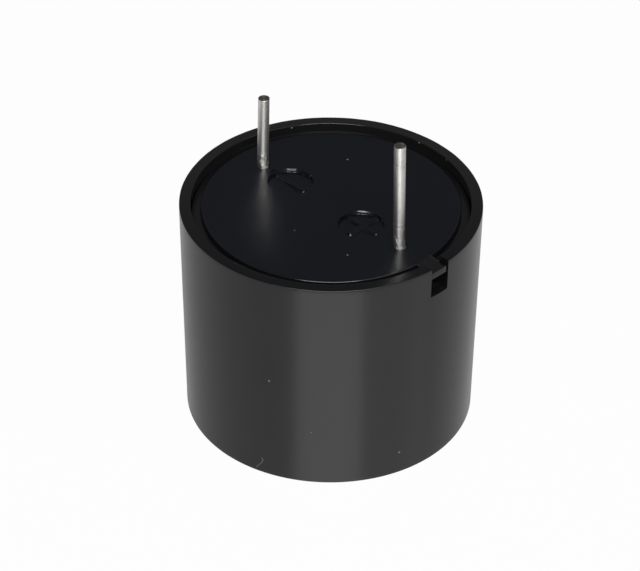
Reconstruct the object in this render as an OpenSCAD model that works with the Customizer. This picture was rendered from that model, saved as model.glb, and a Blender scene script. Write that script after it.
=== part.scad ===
// Piezo siren with its own drive circuit, in a black moulded can for soldering into a circuit board.
// It stands on its sound face at z = 0, with its axis along +Z and its pins up.
// +X runs from the axis through the key and the positive pin. All sizes are in millimetres.

/* [Housing] */
// Outer diameter at the rim
body_d = 23.5; // [22.6:0.1:30]
// Height from the sound face to the rim
body_h = 18.8; // [18.2:0.1:24]
// Draft of the outer wall and of the main bore, in degrees
draft = 1.1; // [0:0.1:1.5]
// Wall thickness at the rim
rim_wall = 0.9; // [0.7:0.05:1.2]
// Thickness of the sound face
face_t = 1.2; // [0.8:0.1:2]
// Radius that rounds the edge of the sound face
foot_round = 0.15; // [0.1:0.05:0.8]
// Radius that breaks the outer edge of the rim
rim_round = 0.12; // [0.05:0.01:0.25]
// Diameter of the sound hole
port_d = 4; // [2:0.1:8]
// Width of the chamfer at the mouth of the sound hole
port_chamfer = 0.3; // [0.1:0.05:0.5]
// Height of the resonance chamber between the sound face and the diaphragm
chamber_h = 3.8; // [3:0.1:5]
// Width of the ledge that carries the edge of the diaphragm
ledge_w = 0.8; // [0.5:0.1:1.5]
// Width of the step that carries the cover
seat_w = 0.4; // [0.3:0.05:0.6]

/* [Cover] */
// Thickness of the flange that lies on the step
flange_t = 1.05; // [0.8:0.05:1.5]
// Depth of the flange below the rim
flange_drop = 0.95; // [0.7:0.05:1.4]
// Depth of the raised middle below the rim
cover_drop = 0.38; // [0.2:0.02:0.6]
// Width of the groove between the raised middle and the wall
groove_w = 0.8; // [0.5:0.05:1.2]
// Radius that rounds the edge of the raised middle
cover_round = 0.15; // [0.05:0.01:0.2]
// Clearance between the flange and the wall
cover_gap = 0.05; // [0.02:0.01:0.1]
// Diameter of the bosses round the pins, under the cover
boss_d = 2.6; // [2.2:0.1:3]
// Height of those bosses
boss_h = 0.6; // [0.3:0.1:0.7]
// Length of the posts that space the circuit board from the cover
post_h = 1.8; // [1.75:0.05:3]
// Diameter of the posts
post_d = 1.5; // [1:0.1:1.8]
// Distance of the posts from the board's edge
post_margin = 0.3; // [0.2:0.05:0.5]
// Number of posts
post_count = 3; // [3]

/* [Key] */
// Width of the lug that keys the cover into the rim
key_w = 1.66; // [1:0.02:2.4]
// Clearance on each side of the lug
key_gap = 0.06; // [0.04:0.01:0.15]
// Depth of the lug's end behind the wall's surface
key_inset = 0.06; // [0.05:0.01:0.3]
// Depth of the slot below the rim
slot_depth = 2.6; // [2.2:0.05:3.5]

/* [Pins] */
// Diameter of the tinned pins where they stand out of the cover
pin_d = 0.9; // [0.6:0.05:1.1]
// Diameter of the thicker shank that holds a pin in the cover and the board
shank_d = 1.25; // [1.2:0.05:1.5]
// Depth of the shank's shoulder below the cover's surface
shoulder_depth = 0.15; // [0.1:0.01:0.2]
// Distance between the pins
pin_pitch = 15; // [14:0.1:15.6]
// Height of the positive pin's tip above the rim
pin_positive_out = 8.8; // [3:0.1:15]
// Height of the negative pin's tip above the rim
pin_negative_out = 5.95; // [3:0.1:15]
// Clearance round a pin and its shank in the cover
pin_gap = 0.04; // [0.02:0.01:0.1]
// Diameter of the upset head under the board
pin_head_d = 1.8; // [1.4:0.1:2]
// Thickness of that head
pin_head_t = 0.5; // [0.3:0.05:0.8]

/* [Diaphragm] */
// Clearance between the brass plate and the bore
plate_gap = 0.2; // [0.1:0.02:0.3]
// Thickness of the brass plate
plate_t = 0.2; // [0.1:0.02:0.4]
// Diameter of the ceramic disc
ceramic_d = 14; // [12:0.1:15]
// Thickness of the ceramic disc
ceramic_t = 0.24; // [0.15:0.01:0.4]
// Width of the silicone bead on the plate
bead_w = 0.8; // [0.4:0.1:1]
// Radius of a solder dot on the diaphragm
dot_r = 0.9; // [0.8:0.05:1]
// Height of a solder dot
dot_h = 0.8; // [0.75:0.05:0.9]

/* [Wires] */
// Diameter of the insulated wires
wire_d = 0.8; // [0.6:0.05:0.9]
// Diameter of their bare ends
core_d = 0.36; // [0.25:0.01:0.4]
// Gap between a wire and the surface that it lies on
wire_lift = 0.05; // [0.02:0.01:0.1]
// Length of core that runs on into the insulation at each end
core_lap = 0.2; // [0.1:0.05:0.4]
// Distance of the wire holes from the board's edge
wire_margin = 1; // [0.8:0.05:1.3]
// Where each wire's hole lies round the axis, in degrees from the key
plate_hole_at = 270; // [265:1:275]
ceramic_hole_at = 150; // [145:1:155]
feedback_hole_at = 30; // [25:1:35]
// Where each wire's dot lies round the axis, in degrees from the key
plate_dot_at = 300; // [295:1:305]
ceramic_dot_at = 127; // [115:1:135]
feedback_dot_at = 20; // [15:1:25]
// Distance of the ceramic's dot from the axis
ceramic_dot_off = 2.5; // [2:0.1:3.5]
// Distance of the feedback dot from the ceramic's edge
feedback_margin = 1.4; // [1.2:0.1:2]

/* [Circuit board] */
// Thickness of the board
board_t = 1.2; // [0.8:0.1:1.6]
// Clearance between the board's edge and the bore
board_gap = 0.35; // [0.2:0.05:0.5]
// Clearance round a lead or a pin in the board
hole_gap = 0.1; // [0.05:0.01:0.15]
// Length of a trimmed lead above the board
lead_out = 0.7; // [0.4:0.05:0.9]
// Diameter of the round leads
lead_d = 0.56; // [0.4:0.02:0.6]
// Radius of a lead's bend, at the middle of the wire
bend_r = 0.6; // [0.4:0.05:0.8]
// Radius of a solder joint's foot beyond its lead
joint_spread = 0.5; // [0.3:0.05:0.6]
// Height of a solder joint
joint_h = 0.55; // [0.4:0.05:0.9]
// Thickness of the solder where a joint ends on its lead
joint_tip = 0.06; // [0.03:0.01:0.08]

/* [Coil] */
// Diameter of the drum core
coil_d = 6; // [5:0.1:6.4]
// Length of the drum core
coil_h = 6; // [4:0.1:6.4]
// Diameter of the core inside the winding
coil_hub_d = 2.8; // [2:0.1:3.4]
// Thickness of the core's end flanges
coil_flange_t = 0.8; // [0.5:0.1:1]
// Distance from the winding's surface to the flange's edge
coil_margin = 0.35; // [0.2:0.05:0.6]
// Distance between the coil's legs
coil_pitch = 3; // [2.5:0.1:4]
// Gap between the coil and the board
coil_lift = 0.3; // [0.1:0.1:0.6]

/* [Transistor] */
// Diameter of the rounded back
transistor_d = 4.6; // [4.2:0.1:5]
// Height of the moulded body
transistor_h = 4.6; // [4.2:0.1:4.8]
// Distance from the axis of the rounded back to the flat
transistor_flat = 1.3; // [1:0.1:1.6]
// Distance between neighbouring legs
transistor_pitch = 1.27; // [1.27:0.01:1.4]
// Side of a stamped leg
transistor_leg = 0.42; // [0.36:0.02:0.44]
// Gap between the body and the board
transistor_lift = 1.6; // [1:0.1:2]

/* [Diode, resistors and capacitor] */
// Diameter of the diode
diode_d = 2; // [1.6:0.1:2.4]
// Length of the diode
diode_l = 3.8; // [3:0.1:4.2]
// Radius that rounds the diode's ends
diode_round = 0.25; // [0.1:0.05:0.4]
// Diameter of a resistor's end caps
resistor_d = 1.8; // [1.4:0.1:2]
// Diameter of a resistor between its caps
resistor_waist_d = 1.5; // [1.2:0.1:1.7]
// Length of a resistor
resistor_l = 3.4; // [3:0.1:3.8]
// Length of a resistor's end cap
resistor_cap_l = 1; // [0.9:0.1:1.2]
// Radius that rounds the end caps
resistor_round = 0.3; // [0.2:0.05:0.4]
// Distance between the holes of an axial part
axial_pitch = 6.4; // [6.2:0.1:6.6]
// Gap between an axial part and the board
axial_lift = 0.2; // [0.1:0.1:0.5]
// Diameter of the disc capacitor
capacitor_d = 5; // [4:0.1:5.4]
// Thickness of the disc capacitor
capacitor_t = 2.2; // [1.6:0.1:2.6]
// Distance between the capacitor's legs
capacitor_pitch = 2.5; // [2:0.1:3]
// Gap between the capacitor and the board
capacitor_lift = 0.8; // [0.4:0.1:1.2]

/* [Hidden] */
$fn = 96;

// How far a cutting shape runs past the surface that it cuts
past = 1;
pin_r = pin_d / 2;
shank_r = shank_d / 2;
lead_r = lead_d / 2;
core_r = core_d / 2;
wire_r = wire_d / 2;

// Levels, from the sound face up
plate_z = face_t + chamber_h;
plate_top_z = plate_z + plate_t;
ceramic_top_z = plate_top_z + ceramic_t;
flange_top_z = body_h - flange_drop;
seat_z = flange_top_z - flange_t;
cover_top_z = body_h - cover_drop;
shoulder_z = cover_top_z - shoulder_depth;
board_top_z = seat_z - post_h;
board_z = board_top_z - board_t;

// Radii of the drafted outer wall and of the drafted main bore at a level
function wall_r(z) = body_d / 2 - (body_h - z) * tan(draft);
rim_bore_r = body_d / 2 - rim_wall;
function bore_r(z) = rim_bore_r - seat_w - (seat_z - z) * tan(draft);

plate_r = bore_r(plate_z) - plate_gap;
ceramic_r = ceramic_d / 2;
chamber_r = plate_r - ledge_w;
board_r = bore_r(board_z) - board_gap;
raised_r = rim_bore_r - groove_w;
post_ring_r = board_r - post_d / 2 - post_margin;

// Where the parts stand on the board: centre, then the turn of the line through their holes
coil_place = [[0, -4.5], 0];
transistor_place = [[0, 5.5], 0];
resistor_base_place = [[0, 1.25], 0];
resistor_drive_place = [[-5.4, -4], 90];
resistor_feedback_place = [[-5.2, 4.3], 90];
diode_place = [[5.4, -4], 90];
capacitor_place = [[5.2, 4.2], 90];

// Holes of a part with a row of legs, on the board
function row_holes(place, pitch, count) = [
    for (i = [0 : count - 1])
        place[0] + pitch * (i - (count - 1) / 2) * [cos(place[1]), sin(place[1])]
];
pin_holes = row_holes([[0, 0], 0], pin_pitch, 2);
transistor_holes = row_holes(transistor_place, transistor_pitch, 3);
round_lead_holes = concat(
    row_holes(coil_place, coil_pitch, 2),
    row_holes(capacitor_place, capacitor_pitch, 2),
    row_holes(diode_place, axial_pitch, 2),
    row_holes(resistor_base_place, axial_pitch, 2),
    row_holes(resistor_drive_place, axial_pitch, 2),
    row_holes(resistor_feedback_place, axial_pitch, 2)
);

// The three wires: solder dot on the diaphragm, level of the surface under it, and hole in the board
function polar(r, angle) = [r * cos(angle), r * sin(angle)];
wire_hole_r = board_r - wire_margin;
plate_dot = polar((ceramic_r + plate_r - bead_w) / 2, plate_dot_at);
ceramic_dot = polar(ceramic_dot_off, ceramic_dot_at);
feedback_dot = polar(ceramic_r - feedback_margin, feedback_dot_at);
plate_wire_hole = polar(wire_hole_r, plate_hole_at);
ceramic_wire_hole = polar(wire_hole_r, ceramic_hole_at);
feedback_wire_hole = polar(wire_hole_r, feedback_hole_at);
wire_holes = [plate_wire_hole, ceramic_wire_hole, feedback_wire_hole];
// Height of a wire's middle above the surface that it lies on
wire_rise = wire_r + wire_lift;
// Shares of a wire's reach that it lies flat, and of its rise that it takes to stand up
wire_flat = 0.55;
wire_turn = 0.2;
wire_sides = 8;
wire_steps = 14;

// Half of a drafted wall's section with both outer edges rounded
module wall_section(height, foot, rim) {
    // Centres of the two edge circles, each tangent to the drafted line
    foot_x = wall_r(foot) - foot / cos(draft);
    rim_x = wall_r(height - rim) - rim / cos(draft);
    polygon([
        [0, 0],
        [foot_x, 0],
        [foot_x + foot * cos(draft), foot - foot * sin(draft)],
        [rim_x + rim * cos(draft), height - rim - rim * sin(draft)],
        [rim_x, height],
        [0, height]
    ]);
    translate([foot_x, foot]) circle(foot);
    translate([rim_x, height - rim]) circle(rim);
}

// Keeps the half of a section that a revolve needs
module right_half(size) {
    intersection() {
        children();
        translate([0, -size]) square([size, 2 * size]);
    }
}

// Hollow of the housing: chamber, ledge, main bore, step and mouth
module hollow_section() {
    polygon([
        [0, face_t],
        [chamber_r - chamber_h * tan(draft), face_t],
        [chamber_r, plate_z],
        [bore_r(plate_z), plate_z],
        [bore_r(seat_z), seat_z],
        [rim_bore_r, seat_z],
        [rim_bore_r, body_h + past],
        [0, body_h + past]
    ]);
}

module housing() {
    color([0.17, 0.175, 0.185]) difference() {
        rotate_extrude() right_half(2 * body_h) wall_section(body_h, foot_round, rim_round);
        rotate_extrude() hollow_section();
        sound_hole();
        // The slot in the wall that takes the cover's lug
        translate([chamber_r, -key_w / 2 - key_gap, body_h - slot_depth])
            cube([body_d, key_w + 2 * key_gap, slot_depth + past]);
    }
}

module sound_hole() {
    translate([0, 0, -past]) cylinder(h = face_t + 2 * past, d = port_d);
    // The chamfer reaches its full width on the sound face
    translate([0, 0, -port_chamfer])
        cylinder(h = 2 * port_chamfer, r1 = port_d / 2 + 2 * port_chamfer, r2 = port_d / 2);
}

// Half of the cover's section: flange, groove and raised middle with its rounded edge
module cover_section() {
    translate([0, seat_z]) square([rim_bore_r - cover_gap, flange_t]);
    polygon([
        [0, seat_z],
        [raised_r, seat_z],
        [raised_r, cover_top_z - cover_round],
        [raised_r - cover_round, cover_top_z],
        [0, cover_top_z]
    ]);
    translate([raised_r - cover_round, cover_top_z - cover_round]) circle(cover_round);
}

module base_cover() {
    color([0.09, 0.095, 0.115]) difference() {
        union() {
            rotate_extrude() right_half(2 * body_h) cover_section();
            key_lug();
            for (hole = pin_holes)
                translate([hole[0], hole[1], seat_z - boss_h])
                    cylinder(h = boss_h + flange_t, d = boss_d);
            for (i = [0 : post_count - 1])
                rotate(90 + i * 360 / post_count)
                    translate([post_ring_r, 0, board_top_z]) cylinder(h = post_h + flange_t, d = post_d);
        }
        for (hole = pin_holes)
            translate([hole[0], hole[1], 0]) pin_hole();
    }
}

// A hole that the pin enters from inside: its shank up to the shoulder, and the free end above
module pin_hole() {
    cylinder(h = shoulder_z, r = shank_r + pin_gap);
    cylinder(h = body_h + past, r = pin_r + pin_gap);
}

// The lug is as thick as the raised middle and ends just behind the wall's surface
module key_lug() {
    lug_t = cover_top_z - flange_top_z;
    intersection() {
        translate([0, -key_w / 2, flange_top_z]) cube([body_d, key_w, lug_t]);
        translate([0, 0, flange_top_z]) cylinder(h = lug_t, r = wall_r(flange_top_z) - key_inset);
    }
}

// A turned pin: head under the board, shank up to a shoulder under the cover's lip, and the free end
module pin(x, out) {
    translate([x, 0, board_z - pin_head_t]) {
        cylinder(h = pin_head_t, d = pin_head_d);
        cylinder(h = shoulder_z - board_z + pin_head_t, r = shank_r);
        cylinder(h = body_h + out - board_z + pin_head_t, r = pin_r);
    }
}

module pin_positive() {
    color([0.78, 0.77, 0.75]) pin(pin_pitch / 2, pin_positive_out);
}

module pin_negative() {
    color([0.78, 0.77, 0.75]) pin(-pin_pitch / 2, pin_negative_out);
}

// Holes of one size through the board
module board_holes(holes, r) {
    for (hole = holes)
        translate([hole[0], hole[1], board_z - past]) cylinder(h = board_t + 2 * past, r = r);
}

module circuit_board() {
    color([0.62, 0.42, 0.22]) difference() {
        translate([0, 0, board_z]) cylinder(h = board_t, r = board_r);
        board_holes(pin_holes, shank_r + hole_gap);
        board_holes(round_lead_holes, lead_r + hole_gap);
        board_holes(transistor_holes, transistor_leg / sqrt(2) + hole_gap / 2);
        board_holes(wire_holes, core_r + hole_gap);
    }
}

// A cone of solder on top of the board, open for its lead
module joint(hole, foot_r, top_r, height) {
    difference() {
        translate([hole[0], hole[1], board_top_z]) cylinder(h = height, r1 = foot_r, r2 = top_r);
        translate([hole[0], hole[1], board_top_z - past]) children();
    }
}

module round_joint(hole, r) {
    joint(hole, r + joint_spread, r + joint_tip, joint_h) cylinder(h = joint_h + 2 * past, r = r);
}

module board_solder() {
    color([0.75, 0.75, 0.77]) {
        for (hole = pin_holes) round_joint(hole, shank_r);
        for (hole = round_lead_holes) round_joint(hole, lead_r);
        for (hole = wire_holes) round_joint(hole, core_r);
        // Neighbouring feet stay apart, and the top covers the corners of the square leg
        for (hole = transistor_holes)
            joint(hole, transistor_pitch / 2 - joint_tip, transistor_leg / sqrt(2) + joint_tip, joint_h)
                translate([0, 0, joint_h / 2 + past])
                    cube([transistor_leg, transistor_leg, joint_h + 2 * past], center = true);
    }
}

// Puts a part on the underside of the board; its own z = 0 is the board's lower face
module on_board(place) {
    translate([place[0][0], place[0][1], board_z]) rotate(place[1]) children();
}

// A row of straight round legs from a part at -start up through the board
module straight_legs(pitch, count, start) {
    for (i = [0 : count - 1])
        translate([pitch * (i - (count - 1) / 2), 0, -start])
            cylinder(h = start + board_t + lead_out, r = lead_r);
}

// Section of the drum core: a hub between two flanges
module drum_section() {
    square([coil_hub_d / 2, coil_h]);
    square([coil_d / 2, coil_flange_t]);
    translate([0, coil_h - coil_flange_t]) square([coil_d / 2, coil_flange_t]);
}

module coil_core() {
    color([0.2, 0.2, 0.21]) on_board(coil_place)
        translate([0, 0, -coil_lift - coil_h]) rotate_extrude() drum_section();
}

module coil_winding() {
    winding_h = coil_h - 2 * coil_flange_t;
    winding_t = (coil_d - coil_hub_d) / 2 - coil_margin;
    color([0.72, 0.36, 0.16]) on_board(coil_place)
        translate([0, 0, -coil_lift - coil_h + coil_flange_t])
            rotate_extrude() translate([coil_hub_d / 2, 0]) square([winding_t, winding_h]);
}

module coil_leads() {
    color([0.78, 0.77, 0.75]) on_board(coil_place) straight_legs(coil_pitch, 2, coil_lift);
}

// The rounded back and the flat front of a moulded transistor
module transistor_body() {
    color([0.1, 0.1, 0.1]) on_board(transistor_place)
        translate([0, 0, -transistor_lift - transistor_h]) intersection() {
            cylinder(h = transistor_h, d = transistor_d);
            translate([-transistor_d, -transistor_flat, 0])
                cube([2 * transistor_d, transistor_d, transistor_h]);
        }
}

module transistor_leads() {
    leg_l = transistor_lift + board_t + lead_out;
    color([0.78, 0.77, 0.75]) on_board(transistor_place)
        for (i = [-1 : 1])
            translate([i * transistor_pitch, 0, leg_l / 2 - transistor_lift])
                cube([transistor_leg, transistor_leg, leg_l], center = true);
}

// Both leads of an axial part: out of the body, round the bend and up through the board
module axial_leads(body_l, body_r) {
    drop = axial_lift + body_r;
    run = axial_pitch / 2 - bend_r;
    for (side = [0, 180])
        rotate(side) {
            translate([body_l / 2, 0, -drop]) rotate([0, 90, 0])
                cylinder(h = run - body_l / 2, r = lead_r);
            translate([run, 0, bend_r - drop]) rotate([90, 0, 0]) rotate(-90)
                rotate_extrude(angle = 90) translate([bend_r, 0]) circle(lead_r);
            translate([axial_pitch / 2, 0, bend_r - drop])
                cylinder(h = drop - bend_r + board_t + lead_out, r = lead_r);
        }
}

// A body turned about the line between its leads, from half of its section
module axial_body(body_l, body_r) {
    translate([-body_l / 2, 0, -axial_lift - body_r]) rotate([0, 90, 0])
        rotate_extrude() children();
}

// Half of a drum's section, with the edges at both ends rounded
module rounded_section(length, r, edge) {
    square([r - edge, length]);
    translate([0, edge]) square([r, length - 2 * edge]);
    for (end = [edge, length - edge])
        translate([r - edge, end]) circle(edge);
}

// A resistor's section: two rounded end caps and a narrower waist
module resistor_section() {
    for (z = [0, resistor_l - resistor_cap_l])
        translate([0, z]) rounded_section(resistor_cap_l, resistor_d / 2, resistor_round);
    square([resistor_waist_d / 2, resistor_l]);
}

module resistor_body(place) {
    color([0.85, 0.75, 0.55]) on_board(place) axial_body(resistor_l, resistor_d / 2) resistor_section();
}

module resistor_leads(place) {
    color([0.78, 0.77, 0.75]) on_board(place) axial_leads(resistor_l, resistor_d / 2);
}

module resistor_base_body() {
    resistor_body(resistor_base_place);
}

module resistor_base_leads() {
    resistor_leads(resistor_base_place);
}

module resistor_drive_body() {
    resistor_body(resistor_drive_place);
}

module resistor_drive_leads() {
    resistor_leads(resistor_drive_place);
}

module resistor_feedback_body() {
    resistor_body(resistor_feedback_place);
}

module resistor_feedback_leads() {
    resistor_leads(resistor_feedback_place);
}

module diode_body() {
    color([0.12, 0.12, 0.12]) on_board(diode_place)
        axial_body(diode_l, diode_d / 2) rounded_section(diode_l, diode_d / 2, diode_round);
}

module diode_leads() {
    color([0.78, 0.77, 0.75]) on_board(diode_place) axial_leads(diode_l, diode_d / 2);
}

// A dipped disc standing on its edge, with a full round rim
module capacitor_disc() {
    rim = capacitor_t / 2;
    translate([0, 0, -capacitor_lift - capacitor_d / 2]) rotate([90, 0, 0])
        rotate_extrude() right_half(capacitor_d) {
            translate([0, -rim]) square([capacitor_d / 2 - rim, capacitor_t]);
            translate([capacitor_d / 2 - rim, 0]) circle(rim);
        }
}

module capacitor_body() {
    color([0.76, 0.42, 0.14]) on_board(capacitor_place) capacitor_disc();
}

module capacitor_leads() {
    color([0.78, 0.77, 0.75]) on_board(capacitor_place) difference() {
        straight_legs(capacitor_pitch, 2, capacitor_lift + capacitor_d / 2);
        capacitor_disc();
    }
}

module piezo_plate() {
    color([0.8, 0.65, 0.3]) translate([0, 0, plate_z]) cylinder(h = plate_t, r = plate_r);
}

module piezo_ceramic() {
    color([0.86, 0.85, 0.82]) translate([0, 0, plate_top_z]) cylinder(h = ceramic_t, r = ceramic_r);
}

// The bead fills the gap round the plate and rises in a hollow curve to the bore
module sealant_ring() {
    curve_r = bead_w + plate_gap;
    top_z = plate_top_z + curve_r;
    color([0.9, 0.9, 0.88]) rotate_extrude() difference() {
        polygon([
            [plate_r, plate_z],
            [bore_r(plate_z), plate_z],
            [bore_r(top_z), top_z],
            [bore_r(plate_z) - curve_r, top_z],
            [bore_r(plate_z) - curve_r, plate_top_z],
            [plate_r, plate_top_z]
        ]);
        translate([bore_r(plate_z) - curve_r, top_z]) circle(curve_r);
    }
}

// Unit vector on the diaphragm from a dot towards its hole in the board
function heading(dot, hole) = (hole - dot) / norm(hole - dot);

// The stripped end of a wire, as it lies in its dot
module stripped_end(dot, hole, surface_z) {
    ahead = heading(dot, hole);
    translate([dot[0], dot[1], surface_z + wire_rise])
        rotate([0, 90, atan2(ahead[1], ahead[0])]) cylinder(h = dot_r + core_lap, r = core_r);
}

// A dome of solder with its wire's bare end drilled out of it
module solder_dot(dot, hole, surface_z) {
    // Radius of the sphere whose cap has the dot's radius and height
    sphere_r = (dot_r * dot_r + dot_h * dot_h) / (2 * dot_h);
    difference() {
        translate([dot[0], dot[1], surface_z]) intersection() {
            translate([0, 0, dot_h - sphere_r]) sphere(sphere_r);
            cylinder(h = dot_h + past, r = dot_r + past);
        }
        stripped_end(dot, hole, surface_z);
    }
}

module piezo_solder() {
    color([0.75, 0.75, 0.77]) {
        solder_dot(plate_dot, plate_wire_hole, plate_top_z);
        solder_dot(ceramic_dot, ceramic_wire_hole, ceramic_top_z);
        solder_dot(feedback_dot, feedback_wire_hole, ceramic_top_z);
    }
}

// A wire's middle line, in the upright plane through its dot and its hole: [distance, height]
function curve(p, t) = pow(1 - t, 3) * p[0] + 3 * pow(1 - t, 2) * t * p[1]
    + 3 * (1 - t) * t * t * p[2] + t * t * t * p[3];
function curve_slope(p, t) = 3 * pow(1 - t, 2) * (p[1] - p[0]) + 6 * (1 - t) * t * (p[2] - p[1])
    + 3 * t * t * (p[3] - p[2]);

// An insulated wire: flat out of its dot, up in one bend, and straight into the board
module wire(dot, hole, surface_z) {
    ahead = heading(dot, hole);
    reach = norm(hole - dot);
    low = surface_z + wire_rise;
    route = [
        [dot_r, low],
        [dot_r + wire_flat * (reach - dot_r), low],
        [reach, low + wire_turn * (board_z - low)],
        [reach, board_z]
    ];
    rings = [
        for (i = [0 : wire_steps])
            let (
                t = i / wire_steps,
                at = curve(route, t),
                run = curve_slope(route, t),
                slope = run / norm(run)
            )
                for (k = [0 : wire_sides - 1])
                    let (
                        side = wire_r * cos(k * 360 / wire_sides),
                        lift = wire_r * sin(k * 360 / wire_sides),
                        along = at[0] - lift * slope[1]
                    )
                        [
                            dot[0] + along * ahead[0] - side * ahead[1],
                            dot[1] + along * ahead[1] + side * ahead[0],
                            at[1] + lift * slope[0]
                        ]
    ];
    skin = [
        for (i = [0 : wire_steps - 1], k = [0 : wire_sides - 1])
            let (a = i * wire_sides + k, b = i * wire_sides + (k + 1) % wire_sides)
                [a, a + wire_sides, b + wire_sides, b]
    ];
    first = [for (k = [0 : wire_sides - 1]) k];
    last = [for (k = [wire_sides - 1 : -1 : 0]) wire_steps * wire_sides + k];
    polyhedron(rings, concat([first], skin, [last]));
    stripped_end(dot, hole, surface_z);
    translate([hole[0], hole[1], board_z - core_lap])
        cylinder(h = core_lap + board_t + lead_out, r = core_r);
}

module lead_plate() {
    color([0.1, 0.1, 0.1]) wire(plate_dot, plate_wire_hole, plate_top_z);
}

module lead_ceramic() {
    color([0.7, 0.08, 0.06]) wire(ceramic_dot, ceramic_wire_hole, ceramic_top_z);
}

module lead_feedback() {
    color([0.1, 0.25, 0.6]) wire(feedback_dot, feedback_wire_hole, ceramic_top_z);
}

housing();
base_cover();
pin_positive();
pin_negative();
circuit_board();
board_solder();
coil_core();
coil_winding();
coil_leads();
transistor_body();
transistor_leads();
diode_body();
diode_leads();
capacitor_body();
capacitor_leads();
resistor_base_body();
resistor_base_leads();
resistor_drive_body();
resistor_drive_leads();
resistor_feedback_body();
resistor_feedback_leads();
piezo_plate();
piezo_ceramic();
sealant_ring();
piezo_solder();
lead_plate();
lead_ceramic();
lead_feedback();
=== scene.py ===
"""Looks of the piezo siren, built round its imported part.

Sizes are in millimetres, and MM turns them into metres.
"""

import math

import bmesh
import bpy
import numpy as np
from mathutils import Matrix, Vector
from mathutils.geometry import tessellate_polygon


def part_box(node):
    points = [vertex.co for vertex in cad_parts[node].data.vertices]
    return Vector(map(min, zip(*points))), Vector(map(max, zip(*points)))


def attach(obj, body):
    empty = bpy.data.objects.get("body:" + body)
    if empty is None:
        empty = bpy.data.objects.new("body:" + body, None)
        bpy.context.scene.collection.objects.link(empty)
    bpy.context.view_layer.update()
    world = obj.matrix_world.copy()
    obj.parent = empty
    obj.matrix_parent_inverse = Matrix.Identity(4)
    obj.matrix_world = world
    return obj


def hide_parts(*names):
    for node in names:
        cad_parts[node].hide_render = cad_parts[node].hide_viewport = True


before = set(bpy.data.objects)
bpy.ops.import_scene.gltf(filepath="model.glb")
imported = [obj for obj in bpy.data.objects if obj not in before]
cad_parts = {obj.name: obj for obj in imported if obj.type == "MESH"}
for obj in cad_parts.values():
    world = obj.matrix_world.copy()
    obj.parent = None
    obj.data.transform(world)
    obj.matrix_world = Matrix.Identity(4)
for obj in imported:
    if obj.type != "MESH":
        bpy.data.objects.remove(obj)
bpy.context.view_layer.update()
MM = 0.001

# Camera. A long lens on a tripod looks down on the pin side, with the positive pin towards the lens.
# Pan, tilt and roll are the small turns by which the siren stands off the middle of the frame.
rim_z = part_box("housing")[1].z / MM
eye_azimuth, eye_elevation, eye_distance = math.radians(-45), math.radians(34.918), 262.95
eye_pan, eye_tilt, eye_roll = (math.radians(a) for a in (0.1704, -1.4209, -0.6496))
sensor_w, focal_length, clip_from = 36, 191.51, 10


def direction(azimuth, elevation):
    """Unit vector at that azimuth from +X and that height above the horizon, both in radians."""
    level = math.cos(elevation)
    return Vector((level * math.cos(azimuth), level * math.sin(azimuth), math.sin(elevation)))


def look(origin, forward, right):
    """Matrix of a camera or lamp at origin that looks along forward, with right to its right."""
    up = right.cross(forward)
    return Matrix.Translation(origin) @ Matrix((right, up, -forward)).transposed().to_4x4()


toward_eye = direction(eye_azimuth, eye_elevation)
forward = -toward_eye
right = Vector((-math.sin(eye_azimuth), math.cos(eye_azimuth), 0))
pan = Matrix.Rotation(eye_pan, 3, right.cross(forward))
forward, right = pan @ forward, pan @ right
tilt = Matrix.Rotation(eye_tilt, 3, right)
forward = tilt @ forward
right = Matrix.Rotation(eye_roll, 3, forward) @ right
camera_data = bpy.data.cameras.new("camera")
camera_data.sensor_width = sensor_w
camera_data.lens = focal_length
camera_data.clip_start = clip_from * MM
camera = bpy.data.objects.new("camera", camera_data)
camera.matrix_world = look((Vector((0, 0, rim_z)) + toward_eye * eye_distance) * MM, forward, right)
bpy.context.scene.collection.objects.link(camera)
bpy.context.scene.camera = camera

# Floor and light. A sheet of white acrylic lies under the siren. One large soft lamp stands behind the
# camera, with a dim reflector to its right, and the room beyond is dim. The sheet's satin face and the
# polish over it carry the lamps' images down to the wall.
floor_half, floor_drop = 2000, 0.02
lamp_distance, lamp_aim_z = 900, 10
lamp_elevation, lamp_half_height = math.radians(44), math.radians(12)
# Each lamp: its name, its radiance, its bearing from the camera's and its half width, both in degrees
lamps = (("softbox", 11.8, 0, 27), ("reflector", 2.1, 55, 26))
# White that floor and room show to the camera and add to a mirror image, and the room's own light
floor_camera, floor_mirror, room_mirror, room_level = 0.97, 0.1, 0.02, 0.11


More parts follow.
